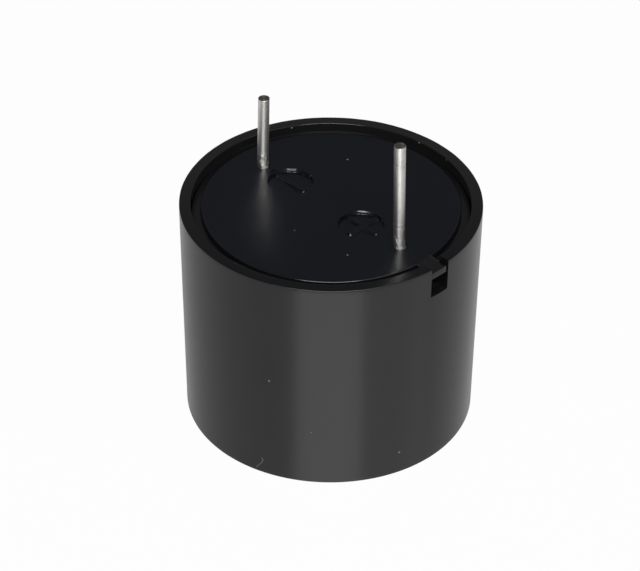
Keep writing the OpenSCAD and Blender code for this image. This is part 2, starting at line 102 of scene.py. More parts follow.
class Signal:
    """A value in a material's node tree. Arithmetic on signals and numbers adds Math nodes."""

    def __init__(self, tree, socket=None):
        self.tree, self.socket = tree, socket

    def node(self, kind, inputs=(), output=0, **settings):
        """The signal of one output of a new node, whose inputs are numbers, colours or signals."""
        made = self.tree.nodes.new(kind)
        for name, value in settings.items():
            setattr(made, name, value)
        for name, value in dict(inputs).items():
            if isinstance(value, Signal):
                self.tree.links.new(value.socket, made.inputs[name])
            else:
                made.inputs[name].default_value = value
        return Signal(self.tree, made.outputs[output] if made.outputs else None)

    def math(self, operation, *terms):
        return self.node("ShaderNodeMath", enumerate(terms), operation=operation)

    def __add__(self, other):
        return self.math("ADD", self, other)

    def __sub__(self, other):
        return self.math("SUBTRACT", self, other)

    def __rsub__(self, other):
        return self.math("SUBTRACT", other, self)

    def __mul__(self, other):
        return self.math("MULTIPLY", self, other)

    __radd__, __rmul__ = __add__, __mul__

    def axis(self, name):
        """This vector's X, Y or Z."""
        return self.node("ShaderNodeSeparateXYZ", {"Vector": self}, name)

    def to_vector(self, operation, vector):
        """The DISTANCE from this vector to another one, or their DOT_PRODUCT."""
        return self.node("ShaderNodeVectorMath", {0: self, 1: vector}, "Value", operation=operation)

    def step(self, low, high):
        """0 below low, 1 above high, smooth between. With low above high it falls instead."""
        if low > high:
            return 1 - self.step(high, low)
        sockets = {"Value": self, "From Min": low, "From Max": high}
        return self.node("ShaderNodeMapRange", sockets, interpolation_type="SMOOTHSTEP")

    def mix(self, low, high):
        """Colour low where this is 0 and colour high where it is 1; either may be a signal."""
        return self.node("ShaderNodeMix", {"Factor": self, 6: low, 7: high}, 2, data_type="RGBA")


def new_material(name):
    """An empty material and the signal that its nodes start from."""
    material = bpy.data.materials.new(name)
    material.use_nodes = True
    material.node_tree.nodes.clear()
    return material, Signal(material.node_tree)


def surface(start, colour, roughness, height=None, **rest):
    """A shader from numbers and signals. Height is that of the finest relief, in metres."""
    sockets = {"Base Color": colour, "Roughness": roughness}
    sockets |= {name.replace("_", " "): value for name, value in rest.items()}
    if height is not None:
        relief = {"Strength": 1.0, "Distance": 1.0, "Height": height}
        sockets["Normal"] = start.node("ShaderNodeBump", relief)
    return start.node("ShaderNodeBsdfPrincipled", sockets)


def end_material(start, shader):
    start.node("ShaderNodeOutputMaterial", {"Surface": shader})


def finish(start, *values, **rest):
    """Ends a material with the one surface that these values give."""
    end_material(start, surface(start, *values, **rest))


def share_seen(start, camera_share, mirror_share):
    """camera_share to the camera, mirror_share to a gloss or a glass, and 0 to other light."""
    share = start.node("ShaderNodeLightPath", output="Is Camera Ray") * camera_share
    for ray in ("Is Glossy Ray", "Is Transmission Ray"):
        share = share + start.node("ShaderNodeLightPath", output=ray) * mirror_share
    return share


acrylic, start = new_material("white_acrylic")
polish = {"Specular_IOR_Level": 1.0, "Coat_Weight": 1.0, "Coat_Roughness": 0.2, "Coat_IOR": 1.6}
sheen = surface(start, (0.63, 0.63, 0.63, 1), 0.5, **polish)
glow = start.node("ShaderNodeEmission", {"Color": (1, 1, 1, 1), "Strength": 1.0})
floor_share = share_seen(start, floor_camera, floor_mirror)
lit = start.node("ShaderNodeMixShader", {"Fac": floor_share, 1: sheen, 2: glow})
# From below the sheet is clear, to show the sound face
under = start.node("ShaderNodeNewGeometry", output="Backfacing")
clear = start.node("ShaderNodeBsdfTransparent")
end_material(start, start.node("ShaderNodeMixShader", {"Fac": under, 1: lit, 2: clear}))

floor_mesh = bpy.data.meshes.new("floor")
floor_corners = np.array([(-1, -1, 0), (1, -1, 0), (1, 1, 0), (-1, 1, 0)]) * floor_half
floor_mesh.from_pydata(((floor_corners - (0, 0, floor_drop)) * MM).tolist(), [], [(0, 1, 2, 3)])
floor_mesh.materials.append(acrylic)
floor = bpy.data.objects.new("floor", floor_mesh)
bpy.context.scene.collection.objects.link(floor)

for lamp_name, radiance, bearing, half_width in lamps:
    azimuth = eye_azimuth + math.radians(bearing)
    width = 2 * lamp_distance * math.cos(lamp_elevation) * math.tan(math.radians(half_width)) * MM
    height = 2 * lamp_distance * math.tan(lamp_half_height) * MM
    lamp_data = bpy.data.lights.new(lamp_name, "AREA")
    lamp_data.shape = "RECTANGLE"
    lamp_data.size, lamp_data.size_y = width, height
    lamp_data.energy = radiance * math.pi * width * height
    lamp = bpy.data.objects.new(lamp_name, lamp_data)
    toward_lamp = direction(azimuth, lamp_elevation)
    lamp_right = Vector((-math.sin(azimuth), math.cos(azimuth), 0))
    lamp_place = (Vector((0, 0, lamp_aim_z)) + toward_lamp * lamp_distance) * MM
    lamp.matrix_world = look(lamp_place, -toward_lamp, lamp_right)
    bpy.context.scene.collection.objects.link(lamp)

world = bpy.data.worlds.new("room")
world.use_nodes = True
world.node_tree.nodes.clear()
start = Signal(world.node_tree)
room_light = share_seen(start, 1 - room_level, room_mirror) + room_level
room = start.node("ShaderNodeBackground", {"Color": (1, 1, 1, 1), "Strength": room_light})
start.node("ShaderNodeOutputWorld", {"Surface": room})
bpy.context.scene.world = world
bpy.context.scene.view_settings.view_transform = "Standard"

# Housing. One black ABS moulding, closed at the sound face and open at the rim, with a slot at +X for
# the cover's key. The core that forms its bore is drafted, so each wall leans a little. Handling has worn
# the rim unevenly.
body_r, draft, foot_round, rim_round = 11.75, math.radians(1.1), 0.15, 0.05
rim_bore_r, seat_step, seat_z, edge_round = 10.85, 0.4, 16.8, 0.05
face_t, plate_z, port_r, port_chamfer = 1.2, 5.0, 2.0, 0.3
plate_clearance, ledge_w = 0.2, 0.8
slot_half, slot_z, slot_root_r = 0.89, 16.2, 9.0
wall_columns, bridge_columns = 256, 8
wear, wear_h, wear_inset = 0.012, 0.25, 0.3
# Heights over which the ground finish of the rim's top face, and the polish of worn edges, set in
ground_from, ground_to, polish_from, polish_to = (rim_z - drop for drop in (0.08, 0.04, 0.6, 0.55))
# Painted shading for the rim's top face: painted shade towards +X and -Y, a greyer painted sheen on the
# far side
rim_painted_shade, rim_painted_sheen = (0.0004, 0.0008, 0.0018, 1), (0.0092, 0.0088, 0.009, 1)
dust_colour = (0.16, 0.16, 0.15, 1)
# Larger specks of dust in the mouth and on the wall
mouth_specks = [(-9.6, 5.08, 18.65, 0.09), (-1.03, 10.77, 18.7, 0.1), (2.11, 10.61, 18.66, 0.08)]
wall_specks = [(4.27, -10.75, 9.42, 0.1), (10.98, -3.17, 2.06, 0.1), (7.15, -8.99, 5.05, 0.06)]
# A curled fibre sticks to the wall near the foot, drawn as a row of close specks
fibre_r = 0.05
fibre = [(3.57, -10.84, 1.46), (3.65, -10.82, 1.32), (3.58, -10.83, 1.12)]
fibre += [(3.44, -10.88, 0.88), (3.26, -10.92, 0.64), (3.08, -10.97, 0.39)]


def lines(*corners):
    """Points along straight lines through corners, without the last corner.

    A corner is a radius, a height and, on all but the last, the number of steps to the next corner.
    """
    parts = []
    for (*corner, steps), end in zip(corners, corners[1:]):
        share = np.linspace(0, 1, steps, endpoint=False)[:, None]
        parts.append(np.array(corner) * (1 - share) + np.array(end[:2]) * share)
    return np.concatenate(parts)


def arc(centre, radius, first, last, count):
    """Points round centre from angle first up to but not including last, in degrees."""
    angle = np.radians(np.linspace(first, last, count, endpoint=False))
    return np.array(centre) + radius * np.stack([np.cos(angle), np.sin(angle)], axis=1)


def wall_r(z):
    """Radius of the drafted outer wall at that height."""
    return body_r - (rim_z - z) * math.tan(draft)


def bore_r(z):
    """Radius of the drafted bore under the cover's seat at that height."""
    return rim_bore_r - seat_step - (seat_z - z) * math.tan(draft)


def turned(radius, z, angle, at=(0, 0)):
    """Grid of points round an upright axis: a row for each radius and height, a column for each angle."""
    x, y = at[0] + radius * np.cos(angle), at[1] + radius * np.sin(angle)
    return np.stack([x, y, z + 0 * angle], axis=-1)


def full_turn(count):
    """A row of angles once round, without the last."""
    return np.linspace(0, 2 * np.pi, count, endpoint=False)[None, :]


def grid_faces(rows, columns, close=True):
    """Quads of a grid of points in row order. With close, the last column joins the first."""
    row = np.arange(rows - 1)[:, None]
    column = np.arange(columns if close else columns - 1)[None, :]
    after = (column + 1) % columns
    corners = [row * columns + column, row * columns + after]
    corners += [(row + 1) * columns + after, (row + 1) * columns + column]
    return np.stack(corners, axis=-1).reshape(-1, 4)


def add_piece(name, points, faces, material):
    """A closed mesh piece from points in millimetres: doubles merged, faces turned outwards."""
    weld, sharp = 1e-6, 35
    mesh = bpy.data.meshes.new(name)
    mesh.from_pydata((np.asarray(points) * MM).tolist(), [], [list(face) for face in faces])
    mended = bmesh.new()
    mended.from_mesh(mesh)
    bmesh.ops.remove_doubles(mended, verts=mended.verts, dist=weld * MM)
    bmesh.ops.dissolve_degenerate(mended, edges=mended.edges, dist=weld * MM)
    loose = [corner for corner in mended.verts if not corner.link_faces]
    bmesh.ops.delete(mended, geom=loose, context="VERTS")
    bmesh.ops.recalc_face_normals(mended, faces=mended.faces)
    mended.to_mesh(mesh)
    mended.free()
    mesh.shade_smooth()
    mesh.set_sharp_from_angle(angle=math.radians(sharp))
    mesh.materials.append(material)
    piece = bpy.data.objects.new(name, mesh)
    bpy.context.scene.collection.objects.link(piece)
    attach(piece, "root")
    return piece


def add_grid(name, grid, material, slot):
    """A piece whose skin is one grid of points, with its last column joined to its first."""
    return add_piece(name, grid.reshape(-1, 3), grid_faces(*grid.shape[:2]), material)


def on_object(start):
    """The place on the object in metres."""
    return start.node("ShaderNodeTexCoord", output="Object")


def noise(start, scale, detail=2.0, roughness=0.5, squeeze=None):
    """Cloudy values round a half over the object, finer with a larger scale.

    Squeeze scales each axis first, and a small share draws the clouds out into streaks along that axis.
    """
    place = on_object(start)
    if squeeze:
        place = start.node("ShaderNodeMapping", {"Vector": place, "Scale": squeeze})
    sockets = {"Vector": place, "Scale": scale, "Detail": detail, "Roughness": roughness}
    return start.node("ShaderNodeTexNoise", sockets)


def to_line(place, a, b):
    """Distance in millimetres, seen from above, from a place in metres to the line between a and b."""
    (ax, ay), (bx, by) = a, b
    dx, dy = bx - ax, by - ay
    x, y = place.axis("X") * (1 / MM) - ax, place.axis("Y") * (1 / MM) - ay
    length_2 = dx * dx + dy * dy
    if length_2:
        share = place.node("ShaderNodeClamp", {"Value": x * (dx / length_2) + y * (dy / length_2)})
        x, y = x - share * dx, y - share * dy
    return place.math("SQRT", x * x + y * y)


def black_plastic(
    name, colour, painted_light_colour, polish_and_painted_light_between, roughness, worn_roughness, shine, grain, fleck_share, specks
):
    """Moulded black plastic with a fine even grain, slow changes of gloss and pale flecks of dust.

    Between the two radii that follow it, the colour turns to the second colour, a lighter one that is
    painted light in the shaded groove, and hands have polished that stretch near the top. The rim's top
    face is duller, as its part of the mould was only ground, and its colour is painted shading: painted
    shade towards +X and -Y, turning to a grey painted sheen on the far side. Grain is a scale and a
    height in metres, and each speck is a place and a radius.
    """
    material, start = new_material(name)
    place = on_object(start)
    height = place.axis("Z")
    cloud = noise(start, 260.0, 3.0)
    # A fleck is a small spot in the middle of a few cells
    cells = {"Vector": place, "Scale": 420.0}
    spot = start.node("ShaderNodeTexVoronoi", cells, "Distance")
    cell = start.node("ShaderNodeTexVoronoi", cells, "Color")
    lot = start.node("ShaderNodeSeparateColor", {"Color": cell})
    dust = spot.step(0.07, 0.03) * lot.step(1 - fleck_share, 1 - 0.9 * fleck_share)
    for *at, radius in specks:
        away = place.to_vector("DISTANCE", Vector(at) * MM)
        dust = start.math("MAXIMUM", dust, away.step(radius * MM, radius * 0.5 * MM))
    ground = height.step(ground_from * MM, ground_to * MM)
    # Painted shading on the rim's top face: darker towards +X and -Y, greyer on the far side
    far_side = place.to_vector("DOT_PRODUCT", (-0.707, 0.707, 0))
    rim_painted_shading = far_side.step(-0.011, 0.008).mix(rim_painted_shade, rim_painted_sheen)
    # Inside these radii the colour is lighter, painted light in the shaded groove, and near the top the
    # stretch is also polished
    worn = to_line(place, (0, 0), (0, 0)).step(*polish_and_painted_light_between)
    tint = cloud.step(0.3, 0.7).mix([0.85 * c for c in colour[:3]] + [1], colour)
    tint = worn.mix(ground.mix(tint, rim_painted_shading), painted_light_colour)
    dull = roughness + (cloud - 0.5) * 0.06 + ground * 0.14
    polished = worn * height.step(polish_from * MM, polish_to * MM)
    dull = dull + (worn_roughness - dull) * polished + dust * 0.2
    grain_scale, grain_height = grain
    relief = noise(start, grain_scale, 3.0, 0.6) * grain_height
    finish(start, dust.mix(tint, dust_colour), dull, relief, IOR=1.5, Specular_IOR_Level=shine)
    return material


chamber_r = bore_r(plate_z) - plate_clearance - ledge_w
chamber_foot_r = chamber_r - (plate_z - face_t) * math.tan(draft)
foot_r = wall_r(foot_round) - foot_round / math.cos(draft)
foot_end_z = foot_round + 0.1
lower_profile = np.concatenate(
    [
        lines((wall_r(slot_z), slot_z, 40), (wall_r(foot_end_z), foot_end_z)),
        arc((foot_r, foot_round), foot_round, -math.degrees(draft), -90, 10),
        lines((foot_r, 0, 8), (port_r + port_chamfer, 0, 2), (port_r, port_chamfer, 3), (port_r, face_t)),
        lines((port_r, face_t, 6), (chamber_foot_r, face_t, 4), (chamber_r, plate_z)),
        lines((chamber_r, plate_z, 2), (bore_r(plate_z), plate_z, 8), (bore_r(slot_z), slot_z)),
    ]
)
rim_r = wall_r(rim_z - rim_round) - rim_round / math.cos(draft)
rim_end_r = rim_r + rim_round * math.cos(draft)
rim_end_z = rim_z - rim_round - rim_round * math.sin(draft)
upper_profile = np.concatenate(
    [
        lines((bore_r(slot_z), slot_z, 2), (bore_r(seat_z), seat_z, 2), (rim_bore_r, seat_z)),
        lines((rim_bore_r, seat_z, 8), (rim_bore_r, rim_z - edge_round)),
        arc((rim_bore_r + edge_round, rim_z - edge_round), edge_round, 180, 90, 5),
        lines((rim_bore_r + edge_round, rim_z, 6), (rim_r, rim_z)),
        arc((rim_r, rim_z - rim_round), rim_round, 90, -math.degrees(draft), 7),
        lines((rim_end_r, rim_end_z, 10), (wall_r(slot_z), slot_z)),
    ]
)
profile = np.concatenate([lower_profile, upper_profile])
radius, z = profile[:, :1], profile[:, 1:]
# The wall runs from one side of the slot round to the other, and short columns bridge the gap under the
# slot. A column's angle changes with radius near the slot, so that both slot sides are flat and stand at
# y = slot_half.
half_gap = np.arcsin(slot_half / np.maximum(radius, slot_root_r))
wall_share = np.linspace(0, 1, wall_columns + 1)[None, :]
bridge_share = np.linspace(0, 1, bridge_columns + 1)[None, 1:-1]
wall_angle = half_gap + wall_share * (2 * np.pi - 2 * half_gap)
angle = np.concatenate([wall_angle, -half_gap + bridge_share * 2 * half_gap], axis=1)
# The rim's outer edge is uneven by a hundredth or two: three slow waves, strongest at the top
uneven = 0.5 * np.sin(11 * angle + 1) + 0.3 * np.sin(29 * angle + 2) + 0.2 * np.sin(67 * angle)
near_rim = np.clip((z - (rim_z - wear_h)) / wear_h, 0, 1) * (radius > rim_bore_r + wear_inset)
reach = radius - wear * near_rim * (1 + uneven)
points = turned(reach, z, angle)
# Numbers of the points, with the first row and the first column again after the last ones
index = np.pad(np.arange(angle.size).reshape(angle.shape), ((0, 1), (0, 1)), mode="wrap")
quads = np.stack([index[:-1, :-1], index[:-1, 1:], index[1:, 1:], index[1:, :-1]], axis=-1)
lower_rows = len(lower_profile)
faces = quads[:, :wall_columns].reshape(-1, 4).tolist()
faces += quads[:lower_rows, wall_columns:].reshape(-1, 4).tolist()
# The slot's floor joins the bridge's outer edge to its inner one, and a flat face closes each side
slot_out, slot_in = index[[0, lower_rows]][:, wall_columns:]
faces += np.stack([slot_out[:-1], slot_in[:-1], slot_in[1:], slot_out[1:]], axis=-1).tolist()
faces += [index[lower_rows:, column].tolist() for column in (0, wall_columns)]
fibre += [tuple((np.array(a) + b) / 2) for a, b in zip(fibre, fibre[1:])]
housing_finish = black_plastic(
    "black_abs",
    colour=(0.0052, 0.0052, 0.0053, 1),
    # Lighter inside the bore: painted light in the shaded groove
    painted_light_colour=(0.0078, 0.0078, 0.008, 1),
    polish_and_painted_light_between=(10.91, 10.89),
    roughness=0.17,
    worn_roughness=0.1,
    shine=0.48,
    grain=(9000.0, 0.0000012),
    fleck_share=0.01,
    specks=mouth_specks + wall_specks + [(*at, fibre_r) for at in fibre],
)
housing = add_piece("siren_housing", points.reshape(-1, 3), faces, housing_finish)
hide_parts("housing")

# Base cover. A black ABS disc that drops into the rim: a flange on the step, a raised middle inside a
# narrow groove, and a key that lies in the wall's slot. Two shallow round recesses carry the raised
# polarity signs.
cover_z, flange_z, cover_r, cover_edge, flange_r, flat_r = 18.42, 17.85, 10.05, 0.09, 10.8, 9.5
key_half, key_draft, key_end_r, key_edge, key_side = 0.82, 0.03, 11.668, 0.07, -0.03
edge_steps, fillet, around_steps = 6, 0.06, 240
pin_x, pin_r, shank_r, pin_gap, shoulder_drop = 7.5, 0.45, 0.625, 0.04, 0.15
hole_round, hole_rim_r = 0.03, 1.1
boss_r, boss_h, post_r, post_z, post_ring_r = 1.3, 0.6, 0.75, 15.0, 8.95
recess_r, recess_depth, recess_margin, steep = 1.8, 0.24, 0.25, 2.4
bar_half, bar_half_w, bar_round, bar_drop = 1.6, 0.2, 0.06, 0.08
key_break, key_break_w, boss_margin, post_margin = 0.03, 0.05, 0.4, 0.2
# Each sign: its middle, its bars' angles and how far aside they stand, then the worn stretch of its
# recess's edge: the bevel's width and slope there, its middle's bearing and its half length in degrees
signs = (
    ((-4.48, -0.03), (0,), 0.03, 0.095, 0.95, 133, 10.5),
    ((3.42, -0.13), (0, math.pi / 2), 0.11, 0.07, 1.2, 124, 19),
)
cover_specks = [(-3.57, 5.35, cover_z, 0.1), (5.54, -3.72, cover_z, 0.09), (0.46, -4.38, cover_z, 0.07)]


def spun(profile, at, segments):
    """A profile of radius and height turned once round an upright axis, as a grid."""
    return turned(np.asarray(profile)[:, :1], np.asarray(profile)[:, 1:], full_turn(segments), at)


def polar(radius, degrees):
    turn = math.radians(degrees)
    return np.array([radius * math.cos(turn), radius * math.sin(turn)])


class Shell:
    """Grids and flat fills that meet along shared edges and merge into one mesh."""

    def __init__(self):
        self.points, self.faces, self.count = [], [], 0

    def grid(self, points, close=True):
        rows, columns = points.shape[:2]
        self.faces += (grid_faces(rows, columns, close) + self.count).tolist()
        self.points.append(points.reshape(-1, 3))
        self.count += rows * columns

    def flat(self, loops):
        """Triangles that fill a level face between its outer loop and the loops of its holes."""
        triangles = tessellate_polygon([[Vector(point) for point in loop] for loop in loops])
        self.faces += (np.array(triangles) + self.count).tolist()
        self.points += [np.asarray(loop) for loop in loops]
        self.count += sum(len(loop) for loop in loops)

    def piece(self, name, material, slot):
        return add_piece(name, np.concatenate(self.points), self.faces, material)


def lip(distance):
    """Depth below a bar's top at a distance past its edge: a quarter round, then a steep wall."""
    within = np.clip(distance, 0, bar_round)
    return bar_round - np.sqrt(bar_round**2 - within**2) + np.maximum(distance - bar_round, 0) * steep


def bevel(distance, width, slope):
    """Depth below the cover's top at a distance past an edge: a bevel, then a steep wall."""
    return np.clip(distance, 0, width) * slope + np.maximum(distance - width, 0) * steep


def sign_patch(middle, arms, bars_aside, worn_w, worn_slope, worn_at, worn_reach):
    """A round recess in the cover, with a bar or a cross of bars left standing on its floor.

    On a polar grid, the depth below the cover grows from the recess's rim inwards as bevel says, down to
    recess_depth, with a bevel only where the rim is worn. From bar_drop over a bar, a strip with round
    ends, the depth grows outwards from its outline as lip says. The surface takes the shallowest of them.
    The bars meet bars_aside from the middle, both towards +X and towards +Y.
    """
    # Two rows round the recess, close ones from its rim inwards and wider ones on to its middle
    radius = [recess_r + recess_margin, recess_r + 0.06]
    radius = np.concatenate([radius, recess_r - np.linspace(0, 0.24, 25), np.linspace(1.53, 0, 52)])
    turn = full_turn(160)
    x, y = radius[:, None] * np.cos(turn), radius[:, None] * np.sin(turn)
    worn = worn_w * np.exp(-(((turn - math.radians(worn_at)) / math.radians(worn_reach)) ** 6))
    depth = np.minimum(bevel(recess_r - np.hypot(x, y), worn, worn_slope), recess_depth)
    bar_x, bar_y = x - bars_aside, y - bars_aside
    for arm in arms:
        along = bar_x * math.cos(arm) + bar_y * math.sin(arm)
        across = bar_y * math.cos(arm) - bar_x * math.sin(arm)
        past_end = np.maximum(np.abs(along) - (bar_half - bar_half_w), 0)
        outside = np.hypot(past_end, across) - (bar_half_w - bar_round)
        depth = np.minimum(depth, bar_drop + lip(outside))
    return np.stack([middle[0] + x, middle[1] + y, cover_z - depth], axis=-1)


# Two profiles with matching rows, from the flat top out over the edge and down to the flat underside:
# one for the plain edge, one for the key, which runs out through the slot before it turns down
top_end_r = cover_r - cover_edge
flange_end_r, flange_end_z = flange_r - edge_round, flange_z - edge_round
plain_profile = np.concatenate(
    [
        lines((flat_r, cover_z, 4), (top_end_r, cover_z)),
        arc((top_end_r, cover_z - cover_edge), cover_edge, 90, 0, edge_steps),
        lines((cover_r, cover_z - cover_edge, 3), (cover_r, flange_z + fillet)),
        arc((cover_r + fillet, flange_z + fillet), fillet, 180, 270, 3),
        lines((cover_r + fillet, flange_z, 2), (flange_end_r, flange_z)),
        arc((flange_end_r, flange_end_z), edge_round, 90, 0, 3),
        [(flange_r, flange_end_z), (flange_r, seat_z), (flat_r, seat_z)],
    ]
)


def key_profile(inset):
    """The key's profile, drawn in by inset at its top and end where its side edge is broken."""
    top, end = cover_z - inset, key_end_r - inset
    out = np.concatenate(
        [
            lines((flat_r, cover_z, 4), (top_end_r, cover_z)),
            lines((top_end_r, top, edge_steps), (end - key_edge, top)),
            arc((end - key_edge, top - key_edge), key_edge, 90, 0, 5),
            [(end, top - key_edge), (end, flange_z), (flange_r, flange_z)],
        ]
    )
    spare = len(plain_profile) - len(out) - 3
    tail = lines((flange_r, flange_z, spare + 1), (flange_r, flange_end_z))[1:]
    return np.concatenate([out, tail, plain_profile[-3:]])


cover_shell = Shell()
# The key's columns from one side to the other: the outermost ones lie on the plain edge, and the next
# break the key's side edge. Each is its distance to the side and its inset, or none on the plain edge.
key_columns = [(key_half + key_draft, None), (key_half, key_break)]
key_columns += [(y, 0.0) for y in np.linspace(key_half - key_break_w, 0, 4)]
key_columns = [(-y, inset) for y, inset in key_columns] + key_columns[-2::-1]
key_lines = []
for y, inset in key_columns:
    radius, z = (plain_profile if inset is None else key_profile(inset)).T
    # The key stands a little to one side in its slot
    aside = 0 if inset is None else key_side * (radius > cover_r)
    key_lines.append(np.stack([radius * np.cos(np.arcsin(y / radius)), y + aside + 0 * z, z], axis=-1))
key_grid = np.stack(key_lines, axis=1)
cover_shell.grid(key_grid, close=False)
radius, z = plain_profile[:, :1], plain_profile[:, 1:]
half_key = np.arcsin((key_half + key_draft) / radius)
turn = half_key + np.linspace(0, 1, around_steps + 1)[None, :] * (2 * np.pi - 2 * half_key)
edge_grid = turned(radius, z, turn)
cover_shell.grid(edge_grid, close=False)

# Each pin's hole runs from the boss under the cover up through it, with a lip that stops the pin's
# shoulder. A narrower throat goes through the lip.
shaft_r, throat_r = shank_r + pin_gap, pin_r + pin_gap
boss_z, lip_z, throat_z = seat_z - boss_h, cover_z - shoulder_drop, cover_z - hole_round
hole_profile = np.concatenate(
    [
        lines((boss_r + boss_margin, seat_z, 2), (boss_r, seat_z, 2), (boss_r, boss_z)),
        lines((boss_r, boss_z, 2), (shaft_r, boss_z)),
        lines((shaft_r, boss_z, 3), (shaft_r, lip_z, 2), (throat_r, lip_z, 2), (throat_r, throat_z)),
        arc((throat_r + hole_round, throat_z), hole_round, 180, 90, 5),
        lines((throat_r + hole_round, cover_z, 3), (hole_rim_r, cover_z)),
        [(hole_rim_r, cover_z)],
    ]
)
post_profile = [(post_r + post_margin, seat_z), (post_r, seat_z), (post_r, post_z), (0, post_z)]
outer_loops = [np.concatenate([key_grid[row, :-1], edge_grid[row, :-1]]) for row in (0, -1)]
top_loops, under_loops = ([loop] for loop in outer_loops)
for side in (-1, 1):
    hole = spun(hole_profile, (side * pin_x, 0), 64)
    cover_shell.grid(hole)
    under_loops.append(hole[0])
    top_loops.append(hole[-1])
for bearing in (90, 210, 330):
    leg = spun(post_profile, polar(post_ring_r, bearing), 48)
    cover_shell.grid(leg)
    under_loops.append(leg[0])
for sign in signs:
    patch = sign_patch(*sign)
    cover_shell.grid(patch)
    top_loops.append(patch[0])
cover_shell.flat(top_loops)
cover_shell.flat(under_loops)
cover_finish = black_plastic(
    "black_abs_gloss",
    colour=(0.0004, 0.0012, 0.004, 1),
    # Lighter on the edge, its side and the flange: painted light in the shaded groove
    painted_light_colour=(0.0042, 0.0042, 0.0052, 1),
    polish_and_painted_light_between=(9.93, 9.95),
    roughness=0.31,
    worn_roughness=0.11,
    shine=0.5,
    grain=(7000.0, 0.0000005),
    fleck_share=0.015,
    specks=cover_specks,
)
cover = cover_shell.piece("siren_cover", cover_finish, "cover_plastic")
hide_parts("base_cover")

# Pins. Tinned brass wire, upset into a head and a shank on the inner end and cut to two lengths on the
# outer one. Feed rollers and the cutter leave faint rings and small dents in the tin. The free ends stand
# a little to one side in their holes and lean, as handling leaves them.
board_z, head_r, head_t, pin_cut, ring_half = 13.8, 0.9, 0.5, 0.02, 0.06
pin_aside, pin_bend, bend_h, pin_step = -0.035, -0.06, 0.3, 0.05
grip_from, grip_to = cover_z + 2.2, cover_z + 0.6
# Each pin: its node, its side, its rings' heights and depths, and its tip's lean towards +X and +Y
pins = (
    ("pin_positive", 1, ((26.0, 0.03), (20.8, 0.02), (20.35, 0.03)), -0.13),
    ("pin_negative", -1, ((19.9, 0.02), (19.4, 0.014), (24.1, 0.008)), 0.108),
)


def drawn_relief(start, mark_height, dent_height):
    """Height of a wire's fine marks and shallow dents, and how dull the dents leave each place."""
    marks = noise(start, 5200.0, 3.0, squeeze=(1.0, 1.0, 0.12))
    dents = noise(start, 1600.0)
    return marks * mark_height + dents * dent_height, dents.step(0.45, 0.75)


tin, start = new_material("tinned_brass")
relief, dull = drawn_relief(start, 0.0000025, 0.000012)
tin_colour = dull.mix((0.91, 0.895, 0.87, 1), (0.74, 0.725, 0.70, 1))
finish(start, tin_colour, 0.4 + dull * 0.08, relief, Metallic=1.0)

drawn_tin, start = new_material("drawn_tinned_wire")
relief, dull = drawn_relief(start, 0.0000015, 0.000008)
# The jaws that held the wire have pitted it near the cover
gripped = on_object(start).axis("Z").step(grip_from * MM, grip_to * MM)
pits = noise(start, 4200.0).step(0.5, 0.68)
relief = relief + gripped * pits * 0.00004
# The negative pin's tin is coloured lighter and the positive pin's darker, as painted light and shade on
# the same tin
positive = on_object(start).axis("X").step(-0.001, 0.001)
painted_lit_tin = dull.mix((0.94, 0.92, 0.89, 1), (0.80, 0.78, 0.75, 1))
painted_shaded_tin = dull.mix((0.81, 0.785, 0.76, 1), (0.70, 0.68, 0.66, 1))
sheared = start.node("ShaderNodeNewGeometry", output="True Normal").axis("Z").step(0.9, 0.98)
finish(
    start,
    sheared.mix(positive.mix(painted_lit_tin, painted_shaded_tin), (0.36, 0.335, 0.31, 1)),
    0.345 + dull * 0.03,
    relief,
    Metallic=1.0,
    Anisotropic=0.84,
    Anisotropic_Rotation=0.25,
)


def pin_profile(tip_z, rings):
    """From the middle of the cut end down to the head. Each ring is a bell-shaped dip in the radius."""
    z = np.arange(tip_z - pin_cut, lip_z, -pin_step)
    groove = sum(depth * np.exp(-(((z - at) / ring_half) ** 2)) for at, depth in rings)
    return np.concatenate(
        [
            [(0, tip_z), (pin_r * 0.6, tip_z)],
            arc((pin_r - pin_cut, tip_z - pin_cut), pin_cut, 90, 0, 4),
            np.stack([pin_r - groove, z], axis=-1),
            [(pin_r, lip_z), (shank_r, lip_z)],
            [(shank_r, board_z), (head_r, board_z), (head_r, board_z - head_t), (0, board_z - head_t)],
        ]
    )


for node, side, rings, lean in pins:
    tip_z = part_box(node)[1].z / MM
    shape = spun(pin_profile(tip_z, rings), (side * pin_x, 0), 48)
    z = shape[..., 2:]
    # Above its shoulder the pin stands aside. Over the cover it bends within bend_h and leans to its tip.
    free = np.clip(z - cover_z, 0, None)
    aside = lean * free / (tip_z - cover_z) + pin_bend * (1 - np.exp(-free / bend_h))
    aside += pin_aside * (z > lip_z + 0.001)
    shape[..., :2] += math.sqrt(0.5) * aside
    pin = add_grid("siren_" + node, shape, drawn_tin, "tinned_wire")
    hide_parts(node)

# Diaphragm. A rolled brass plate rests on the housing's ledge and carries a silvered piezo ceramic disc.
# A tongue of the silver is cut off from the rest and feeds the oscillator. A bead of silicone seals the
# plate in.
plate_r, ceramic_r, ceramic_z, ceramic_top_z = bore_r(plate_z) - plate_clearance, 7.0, 5.2, 5.44
bead_reach, silver_r, tongue_half, gap_half = 0.8, 6.6, 1.2, 0.1
# The wires' solder dots on the plate and the ceramic
plate_dot = polar((ceramic_r + plate_r - bead_reach) / 2, 300)
ceramic_dot, feedback_dot = polar(2.5, 127), polar(ceramic_r - 1.4, 20)


def dress(node, material):
    """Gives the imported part's own piece its material."""
    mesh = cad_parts[node].data
    mesh.materials.clear()
    mesh.materials.append(material)


brass, start = new_material("rolled_brass")
streaks = noise(start, 4000.0, 3.0, squeeze=(0.04, 1, 1))
stain = noise(start, 220.0, 3.0).step(0.35, 0.75)
brass_colour = stain.mix((0.62, 0.42, 0.14, 1), (0.46, 0.29, 0.09, 1))
finish(start, brass_colour, 0.26 + stain * 0.12, streaks * 0.000002, Metallic=1.0)
dress("piezo_plate", brass)

silvered, start = new_material("silvered_ceramic")
place = on_object(start)
silver = to_line(place, (0, 0), (0, 0)).step(silver_r + 0.05, silver_r - 0.05)
